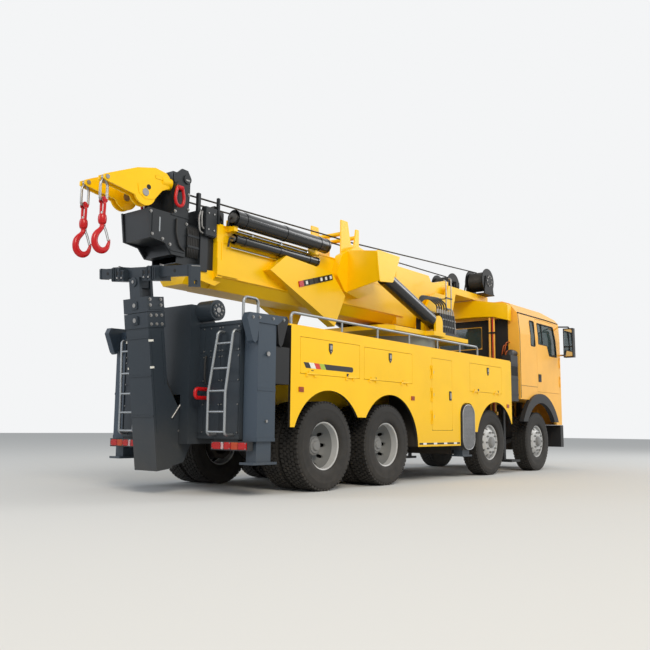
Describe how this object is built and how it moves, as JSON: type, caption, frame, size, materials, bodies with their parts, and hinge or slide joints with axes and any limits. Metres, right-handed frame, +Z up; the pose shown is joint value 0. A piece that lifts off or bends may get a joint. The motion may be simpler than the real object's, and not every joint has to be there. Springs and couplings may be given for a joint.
{
  "type": "four-axle rotator recovery truck",
  "caption": "Heavy rotator tow truck with a slewing telescopic crane boom, twin winches, folding rear underlift, sliding outriggers, side lockers and a sleeper cab.",
  "frame": {"origin": "on the ground below the middle of the truck's length and width", "axes": "+X forward towards the cab, +Y to the truck's left, +Z up"},
  "size_m": [10.6512, 3.06, 3.83],
  "materials": {
    "chassis_paint": "satin",
    "grey_paint": "satin",
    "body_yellow": "gloss",
    "cab_yellow": "gloss",
    "tyre_and_rim": "matte",
    "black_plastic": "matte",
    "bright_steel": "satin",
    "chrome_rod": "polished",
    "hook_red": "gloss",
    "lamp_red": "gloss",
    "glass": "polished",
    "trim": "matte",
    "cast_iron": "matte"
  },
  "bodies": {
    "chassis": {"chassis_frame": "chassis_paint", "powertrain": "cast_iron", "axles": "chassis_paint", "body_right": "body_yellow", "body_left": "body_yellow", "deck": "grey_paint", "slew_ring": "bright_steel", "railings": "bright_steel", "rear_housing": "grey_paint", "towing_eyes": "hook_red", "tail_lamps": "lamp_red", "cab_shell": "cab_yellow", "cab_glass": "glass", "cab_interior": "trim", "cab_fittings": "black_plastic", "canopy": "body_yellow"},
    "knuckle_1_right": {"knuckle_1_right": "chassis_paint"},
    "knuckle_1_left": {"knuckle_1_left": "chassis_paint"},
    "knuckle_2_right": {"knuckle_2_right": "chassis_paint"},
    "knuckle_2_left": {"knuckle_2_left": "chassis_paint"},
    "wheel_1_right": {"wheel_1_right": "tyre_and_rim"},
    "wheel_1_left": {"wheel_1_left": "tyre_and_rim"},
    "wheel_2_right": {"wheel_2_right": "tyre_and_rim"},
    "wheel_2_left": {"wheel_2_left": "tyre_and_rim"},
    "wheel_3_right": {"wheel_3_right": "tyre_and_rim"},
    "wheel_3_left": {"wheel_3_left": "tyre_and_rim"},
    "wheel_4_right": {"wheel_4_right": "tyre_and_rim"},
    "wheel_4_left": {"wheel_4_left": "tyre_and_rim"},
    "cab_door_right": {"cab_door_right": "cab_yellow"},
    "cab_door_left": {"cab_door_left": "cab_yellow"},
    "locker_a_right": {"locker_a_right": "body_yellow"},
    "locker_a_left": {"locker_a_left": "body_yellow"},
    "locker_b_right": {"locker_b_right": "body_yellow"},
    "locker_b_left": {"locker_b_left": "body_yellow"},
    "locker_c_right": {"locker_c_right": "body_yellow"},
    "locker_c_left": {"locker_c_left": "body_yellow"},
    "locker_tall_right": {"locker_tall_right": "body_yellow"},
    "locker_tall_left": {"locker_tall_left": "body_yellow"},
    "rear_beam_right": {"rear_beam_right": "grey_paint"},
    "rear_leg_right": {"rear_leg_right": "grey_paint"},
    "rear_beam_left": {"rear_beam_left": "grey_paint"},
    "rear_leg_left": {"rear_leg_left": "grey_paint"},
    "front_beam_right": {"front_beam_right": "grey_paint"},
    "front_leg_right": {"front_leg_right": "grey_paint"},
    "front_beam_left": {"front_beam_left": "grey_paint"},
    "front_leg_left": {"front_leg_left": "grey_paint"},
    "turret": {"turret": "body_yellow", "winches": "chassis_paint"},
    "lift_barrels": {"lift_barrels": "body_yellow"},
    "lift_rods": {"lift_rods": "chrome_rod"},
    "boom_base": {"boom_base": "body_yellow"},
    "boom_mid": {"boom_mid": "grey_paint"},
    "boom_tip": {"boom_tip": "grey_paint"},
    "beak_right": {"beak_right": "body_yellow"},
    "hook_right": {"hook_right": "hook_red"},
    "beak_left": {"beak_left": "body_yellow"},
    "hook_left": {"hook_left": "hook_red"},
    "underlift_arm": {"underlift_arm": "grey_paint"},
    "underlift_inner": {"underlift_inner": "grey_paint"},
    "crossbar": {"crossbar": "grey_paint"}
  },
  "joints": [
    {"name": "steer_1_right", "type": "hinge", "parent": "chassis", "child": "knuckle_1_right", "pos_m": [3.9, -0.82, 0.538], "axis": [0, 0, 1], "range_deg": [-35, 35]},
    {"name": "steer_1_left", "type": "hinge", "parent": "chassis", "child": "knuckle_1_left", "pos_m": [3.9, 0.82, 0.538], "axis": [0, 0, 1], "range_deg": [-35, 35]},
    {"name": "steer_2_right", "type": "hinge", "parent": "chassis", "child": "knuckle_2_right", "pos_m": [1.95, -0.82, 0.538], "axis": [0, 0, 1], "range_deg": [-23, 23]},
    {"name": "steer_2_left", "type": "hinge", "parent": "chassis", "child": "knuckle_2_left", "pos_m": [1.95, 0.82, 0.538], "axis": [0, 0, 1], "range_deg": [-23, 23]},
    {"name": "spin_1_right", "type": "hinge", "parent": "knuckle_1_right", "child": "wheel_1_right", "pos_m": [3.9, -1.01, 0.538], "axis": [0, 1, 0], "continuous": true},
    {"name": "spin_1_left", "type": "hinge", "parent": "knuckle_1_left", "child": "wheel_1_left", "pos_m": [3.9, 1.01, 0.538], "axis": [0, 1, 0], "continuous": true},
    {"name": "spin_2_right", "type": "hinge", "parent": "knuckle_2_right", "child": "wheel_2_right", "pos_m": [1.95, -1.01, 0.538], "axis": [0, 1, 0], "continuous": true},
    {"name": "spin_2_left", "type": "hinge", "parent": "knuckle_2_left", "child": "wheel_2_left", "pos_m": [1.95, 1.01, 0.538], "axis": [0, 1, 0], "continuous": true},
    {"name": "spin_3_right", "type": "hinge", "parent": "chassis", "child": "wheel_3_right", "pos_m": [-1.25, -1.055, 0.538], "axis": [0, 1, 0], "continuous": true},
    {"name": "spin_3_left", "type": "hinge", "parent": "chassis", "child": "wheel_3_left", "pos_m": [-1.25, 1.055, 0.538], "axis": [0, 1, 0], "continuous": true},
    {"name": "spin_4_right", "type": "hinge", "parent": "chassis", "child": "wheel_4_right", "pos_m": [-2.6, -1.055, 0.538], "axis": [0, 1, 0], "continuous": true},
    {"name": "spin_4_left", "type": "hinge", "parent": "chassis", "child": "wheel_4_left", "pos_m": [-2.6, 1.055, 0.538], "axis": [0, 1, 0], "continuous": true},
    {"name": "cab_door_right", "type": "hinge", "parent": "chassis", "child": "cab_door_right", "pos_m": [4.96, -1.21, 1.9], "axis": [0, 0, 1], "range_deg": [0, 70]},
    {"name": "cab_door_left", "type": "hinge", "parent": "chassis", "child": "cab_door_left", "pos_m": [4.96, 1.21, 1.9], "axis": [0, 0, -1], "range_deg": [0, 70]},
    {"name": "locker_a_right", "type": "hinge", "parent": "chassis", "child": "locker_a_right", "pos_m": [-2.56, -1.26, 1.385], "axis": [1, 0, 0], "range_deg": [0, 90]},
    {"name": "locker_a_left", "type": "hinge", "parent": "chassis", "child": "locker_a_left", "pos_m": [-2.56, 1.26, 1.385], "axis": [-1, 0, 0], "range_deg": [0, 90]},
    {"name": "locker_b_right", "type": "hinge", "parent": "chassis", "child": "locker_b_right", "pos_m": [-1.27, -1.26, 1.385], "axis": [1, 0, 0], "range_deg": [0, 90]},
    {"name": "locker_b_left", "type": "hinge", "parent": "chassis", "child": "locker_b_left", "pos_m": [-1.27, 1.26, 1.385], "axis": [-1, 0, 0], "range_deg": [0, 90]},
    {"name": "locker_c_right", "type": "hinge", "parent": "chassis", "child": "locker_c_right", "pos_m": [1.64, -1.26, 1.355], "axis": [1, 0, 0], "range_deg": [0, 90]},
    {"name": "locker_c_left", "type": "hinge", "parent": "chassis", "child": "locker_c_left", "pos_m": [1.64, 1.26, 1.355], "axis": [-1, 0, 0], "range_deg": [0, 90]},
    {"name": "locker_tall_right", "type": "hinge", "parent": "chassis", "child": "locker_tall_right", "pos_m": [-0.15, -1.26, 1.25], "axis": [0, 0, -1], "range_deg": [0, 100]},
    {"name": "locker_tall_left", "type": "hinge", "parent": "chassis", "child": "locker_tall_left", "pos_m": [-0.15, 1.26, 1.25], "axis": [0, 0, 1], "range_deg": [0, 100]},
    {"name": "rear_beam_right", "type": "slide", "parent": "chassis", "child": "rear_beam_right", "axis": [0, -1, 0], "range_m": [0, 0.85]},
    {"name": "rear_leg_right", "type": "slide", "parent": "rear_beam_right", "child": "rear_leg_right", "axis": [0, 0, -1], "range_m": [0, 0.345]},
    {"name": "rear_beam_left", "type": "slide", "parent": "chassis", "child": "rear_beam_left", "axis": [0, 1, 0], "range_m": [0, 0.85]},
    {"name": "rear_leg_left", "type": "slide", "parent": "rear_beam_left", "child": "rear_leg_left", "axis": [0, 0, -1], "range_m": [0, 0.345]},
    {"name": "front_beam_right", "type": "slide", "parent": "chassis", "child": "front_beam_right", "axis": [0, -1, 0], "range_m": [0, 0.85]},
    {"name": "front_leg_right", "type": "slide", "parent": "front_beam_right", "child": "front_leg_right", "axis": [0, 0, -1], "range_m": [0, 0.325]},
    {"name": "front_beam_left", "type": "slide", "parent": "chassis", "child": "front_beam_left", "axis": [0, 1, 0], "range_m": [0, 0.85]},
    {"name": "front_leg_left", "type": "slide", "parent": "front_beam_left", "child": "front_leg_left", "axis": [0, 0, -1], "range_m": [0, 0.325]},
    {"name": "slew", "type": "hinge", "parent": "chassis", "child": "turret", "pos_m": [0.69, 0, 2.2], "axis": [0, 0, 1], "range_deg": [-135, 135]},
    {"name": "boom_lift", "type": "hinge", "parent": "turret", "child": "boom_base", "pos_m": [1.56, 0, 2.92], "axis": [0, 1, 0], "range_deg": [0, 60]},
    {"name": "lift_barrels", "type": "hinge", "parent": "turret", "child": "lift_barrels", "pos_m": [0.69, 0, 2.44], "axis": [0, 1, 0], "range_deg": [0, 65]},
    {"name": "lift_rods", "type": "slide", "parent": "lift_barrels", "child": "lift_rods", "axis": [-0.9401, 0, 0.3408], "range_m": [0, 1]},
    {"name": "boom_mid_slide", "type": "slide", "parent": "boom_base", "child": "boom_mid", "axis": [-1, 0, 0], "range_m": [0, 2.6]},
    {"name": "boom_tip_slide", "type": "slide", "parent": "boom_mid", "child": "boom_tip", "axis": [-1, 0, 0], "range_m": [0, 2.6]},
    {"name": "beak_right", "type": "hinge", "parent": "boom_tip", "child": "beak_right", "pos_m": [-4.37, -0.17, 3.56], "axis": [-1, 0, 0], "range_deg": [0, 80]},
    {"name": "hook_right", "type": "hinge", "parent": "beak_right", "child": "hook_right", "pos_m": [-5.2, -0.17, 3.41], "axis": [0, 1, 0], "range_deg": [-20, 60]},
    {"name": "beak_left", "type": "hinge", "parent": "boom_tip", "child": "beak_left", "pos_m": [-4.37, 0.17, 3.56], "axis": [1, 0, 0], "range_deg": [0, 80]},
    {"name": "hook_left", "type": "hinge", "parent": "beak_left", "child": "hook_left", "pos_m": [-5.2, 0.17, 3.41], "axis": [0, 1, 0], "range_deg": [-20, 60]},
    {"name": "underlift_fold", "type": "hinge", "parent": "chassis", "child": "underlift_arm", "pos_m": [-3.94, 0, 0.72], "axis": [0, -1, 0], "range_deg": [0, 83]},
    {"name": "underlift_slide", "type": "slide", "parent": "underlift_arm", "child": "underlift_inner", "axis": [-0.1236, 0, 0.9923], "range_m": [0, 0.805]},
    {"name": "crossbar_swivel", "type": "hinge", "parent": "underlift_inner", "child": "crossbar", "pos_m": [-4.52396, 0, 2.38479], "axis": [0.9923, 0, 0.1236], "range_deg": [-15, 5]}
  ],
  "couplings": [
    {"joint": "steer_1_left", "follows": "steer_1_right", "ratio": 1},
    {"joint": "steer_2_right", "follows": "steer_1_right", "ratio": 0.65},
    {"joint": "steer_2_left", "follows": "steer_1_right", "ratio": 0.65},
    {"joint": "lift_barrels", "follows": "boom_lift", "ratio": 1.0687},
    {"joint": "lift_rods", "follows": "boom_lift", "m_per_rad": 0.9374},
    {"joint": "underlift_slide", "follows": "underlift_fold", "m_per_rad": 0.55225}
  ]
}
